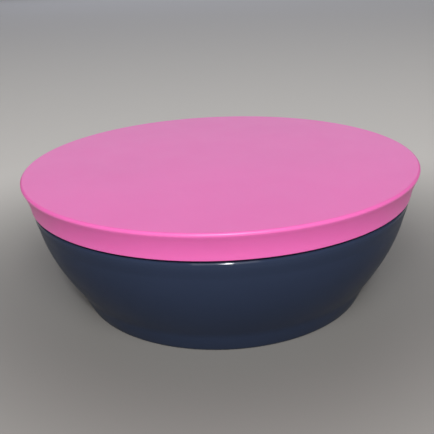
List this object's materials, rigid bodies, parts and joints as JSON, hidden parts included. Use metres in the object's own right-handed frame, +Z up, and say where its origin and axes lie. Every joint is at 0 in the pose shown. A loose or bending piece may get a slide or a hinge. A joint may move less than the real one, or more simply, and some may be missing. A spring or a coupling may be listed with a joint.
{
  "type": "lidded bowl",
  "caption": "Low, wide, round moulded plastic bowl with a foot ring and a flat press-on lid, for go stones or other small pieces.",
  "frame": {"origin": "centre of the foot ring, on the surface the bowl stands on", "axes": "+Z up, along the bowl's axis of revolution, the way the lid lifts off; +X and +Y are any two level directions"},
  "size_m": [0.2, 0.2, 0.0681],
  "materials": {
    "bowl_plastic": "dark navy polypropylene, satin",
    "lid_plastic": "bright pink polypropylene, satin"
  },
  "bodies": {
    "bowl": {"bowl": "bowl_plastic"},
    "lid": {"lid": "lid_plastic"}
  },
  "joints": [
    {"name": "lid_lift", "type": "slide", "parent": "bowl", "child": "lid", "axis": [0, 0, 1], "range_m": [0, 0.08]}
  ]
}
